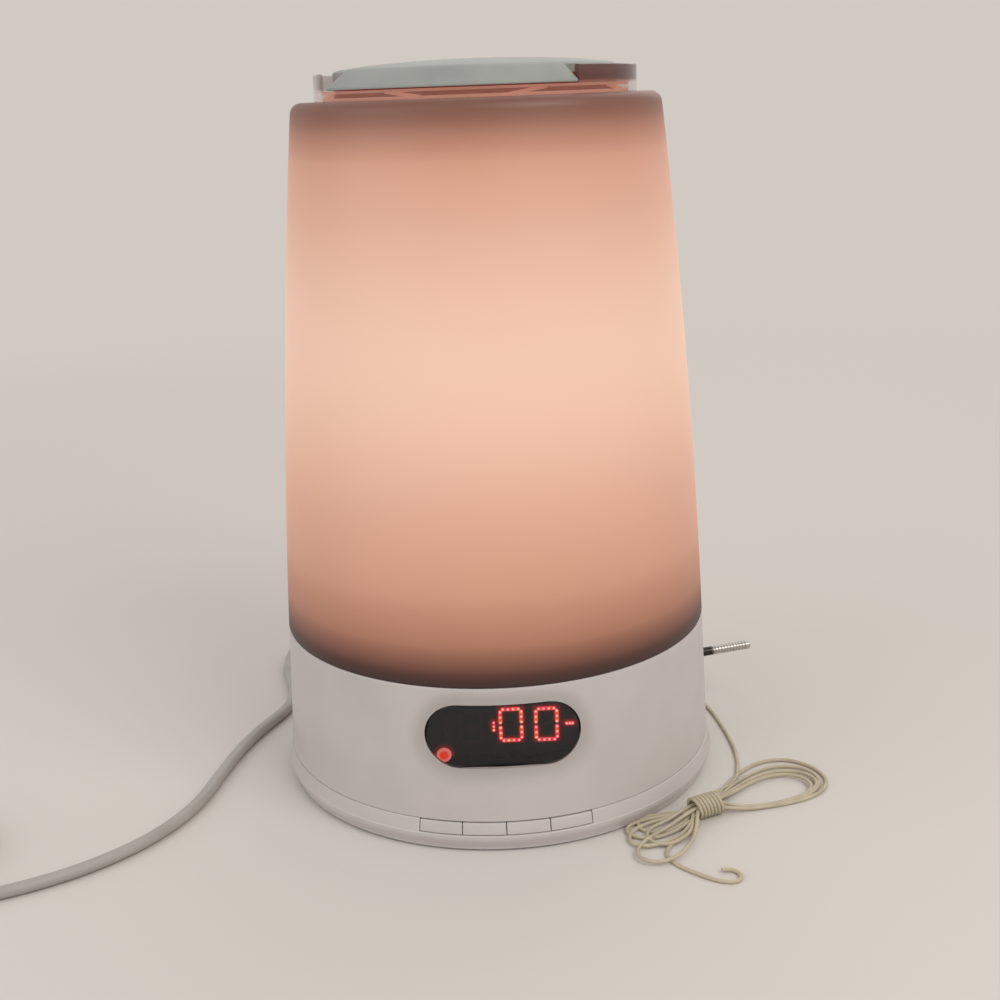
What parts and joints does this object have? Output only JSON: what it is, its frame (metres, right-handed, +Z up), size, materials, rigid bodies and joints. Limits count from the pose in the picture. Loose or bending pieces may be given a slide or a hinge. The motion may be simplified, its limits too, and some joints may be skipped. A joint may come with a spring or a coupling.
{
  "type": "sunrise alarm clock",
  "caption": "Round bedside wake-up lamp with a frosted shade, a twist-off vent cap and a base holding a digit display, front keys, a radio tuning spindle, a mains lead and a wire aerial.",
  "frame": {"origin": "centre of the foot ring underside, on the table, on the lamp axis", "axes": "+Z up along the lamp axis, -Y towards the user at the display, +X towards the tuning spindle side"},
  "size_m": [0.4248, 0.2537, 0.2892],
  "materials": {
    "white_plastic": "satin",
    "foot_rubber": "matte",
    "window_smoke": "polished",
    "board_green": "satin",
    "black_plastic": "matte",
    "lit_red": "glowing",
    "unlit_red": "matte",
    "capacitor_blue": "satin",
    "bright_metal": "satin",
    "dark_metal": "satin",
    "coil_tape": "satin",
    "ivory_plastic": "satin",
    "contact_brass": "satin",
    "reflector_white": "matte",
    "bulb_frost": "frosted",
    "bulb_core": "clear",
    "frosted_shade": "frosted",
    "vent_plastic": "satin",
    "clear_plastic": "clear",
    "cap_grey": "satin",
    "lead_grey": "satin",
    "wire_cream": "satin"
  },
  "bodies": {
    "lamp": {"base_plate": "white_plastic", "foot_ring": "foot_rubber", "rim_ring": "white_plastic", "base_housing": "white_plastic", "display_window": "window_smoke", "display_board": "board_green", "digit_block": "black_plastic", "digits_lit": "lit_red", "digits_unlit": "unlit_red", "alarm_light": "lit_red", "key_board": "board_green", "key_switches": "black_plastic", "main_board": "board_green", "capacitors": "capacitor_blue", "power_triac": "black_plastic", "heat_sink": "bright_metal", "board_chips": "black_plastic", "transformer_core": "dark_metal", "transformer_coil": "coil_tape", "mains_terminal": "ivory_plastic", "speaker_frame": "dark_metal", "speaker_cone": "black_plastic", "speaker_magnet": "dark_metal", "radio_board": "board_green", "tuner_body": "bright_metal", "tuner_bush": "bright_metal", "tuner_nut": "bright_metal", "lampholder": "ivory_plastic", "lampholder_contacts": "contact_brass", "reflector_plate": "reflector_white", "bulb_cap": "bright_metal", "bulb_glass": "bulb_frost", "bulb_capsule": "bulb_core", "thermal_fuse": "ivory_plastic", "lamp_leads": "ivory_plastic", "shade": "frosted_shade", "vent_ring": "vent_plastic", "clear_ring": "clear_plastic", "base_screws": "bright_metal", "small_screws": "bright_metal", "cord_clamp": "ivory_plastic", "cord_gland": "lead_grey", "mains_lead": "lead_grey", "mains_cord": "lead_grey", "mains_coil": "lead_grey", "cord_tie": "white_plastic", "plug_body": "lead_grey", "plug_pins": "bright_metal", "aerial_grommet": "white_plastic", "aerial_lead": "wire_cream", "aerial_hank": "wire_cream", "aerial_tail": "wire_cream"},
    "key_1": {"key_1": "white_plastic"},
    "key_2": {"key_2": "white_plastic"},
    "key_3": {"key_3": "white_plastic"},
    "key_4": {"key_4": "white_plastic"},
    "cap": {"top_cap": "cap_grey", "heat_shield": "bright_metal"},
    "spindle": {"tuner_spindle": "bright_metal"}
  },
  "joints": [
    {"name": "key_1_press", "type": "slide", "parent": "lamp", "child": "key_1", "axis": [0.2765, 0.961, 0], "range_m": [0, 0.0008], "stiffness_N_per_m": 800, "springref_m": -0.001},
    {"name": "key_2_press", "type": "slide", "parent": "lamp", "child": "key_2", "axis": [0.0932, 0.9956, 0], "range_m": [0, 0.0008], "stiffness_N_per_m": 800, "springref_m": -0.001},
    {"name": "key_3_press", "type": "slide", "parent": "lamp", "child": "key_3", "axis": [-0.0932, 0.9956, 0], "range_m": [0, 0.0008], "stiffness_N_per_m": 800, "springref_m": -0.001},
    {"name": "key_4_press", "type": "slide", "parent": "lamp", "child": "key_4", "axis": [-0.2765, 0.961, 0], "range_m": [0, 0.0008], "stiffness_N_per_m": 800, "springref_m": -0.001},
    {"name": "cap_twist", "type": "hinge", "parent": "lamp", "child": "cap", "pos_m": [0, 0, 0.28], "axis": [0, 0, -1], "range_deg": [0, 8]},
    {"name": "tuner_turn", "type": "hinge", "parent": "lamp", "child": "spindle", "pos_m": [0.08607, 0.02631, 0.028], "axis": [0.9563, 0.2924, 0], "range_deg": [0, 300]}
  ]
}
